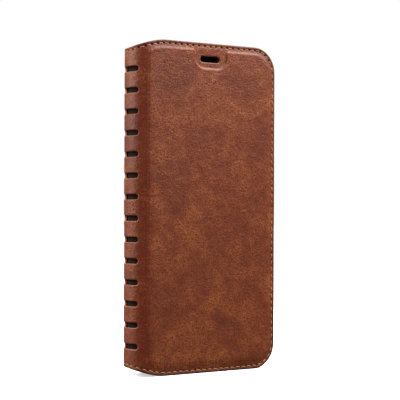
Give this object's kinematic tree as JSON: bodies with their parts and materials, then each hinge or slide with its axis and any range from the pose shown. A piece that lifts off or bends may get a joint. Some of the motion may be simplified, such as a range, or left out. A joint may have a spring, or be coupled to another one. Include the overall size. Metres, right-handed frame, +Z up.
{
  "type": "phone wallet case",
  "caption": "Closed folio phone case in brown leather: padded cover, rounded spine with a column of slots, card pockets inside and a moulded phone shell on the back.",
  "frame": {"origin": "under the middle of the closed, upright case, on the bottom edge of its leather", "axes": "+Z up along the case's height, +X towards the free edge and away from the spine, -Y out of the front cover, +Y out of the back"},
  "size_m": [0.0788, 0.0178, 0.156],
  "materials": {
    "leather": "satin",
    "thread": "matte",
    "lining": "matte",
    "pocket_leather": "satin",
    "board": "matte",
    "foam": "matte",
    "shell": "satin",
    "magnet": "satin",
    "adhesive": "matte"
  },
  "bodies": {
    "back": {"back_leather": "leather", "back_board": "board", "back_lining": "lining", "back_seam_thread": "thread", "shell_adhesive": "adhesive", "phone_shell": "shell", "magnet_back_lower": "magnet", "magnet_back_upper": "magnet"},
    "spine": {"spine_leather": "leather", "spine_lining": "lining", "spine_seam_thread_top": "thread", "spine_seam_thread_bottom": "thread"},
    "cover": {"front_leather": "leather", "front_foam": "foam", "front_board": "board", "front_lining": "lining", "cash_pocket_panel": "pocket_leather", "card_pocket_1": "pocket_leather", "card_pocket_2": "pocket_leather", "card_pocket_3": "pocket_leather", "front_seam_thread": "thread", "pocket_seam_thread": "thread", "magnet_front_lower": "magnet", "magnet_front_upper": "magnet"}
  },
  "joints": [
    {"name": "spine_fold", "type": "hinge", "parent": "back", "child": "spine", "pos_m": [-0.0355, 0.00781, 0.078], "axis": [0, 0, -1], "range_deg": [0, 180]},
    {"name": "cover_fold", "type": "hinge", "parent": "spine", "child": "cover", "pos_m": [-0.0355, -0.00736, 0.078], "axis": [0, 0, -1], "range_deg": [0, 180]}
  ]
}
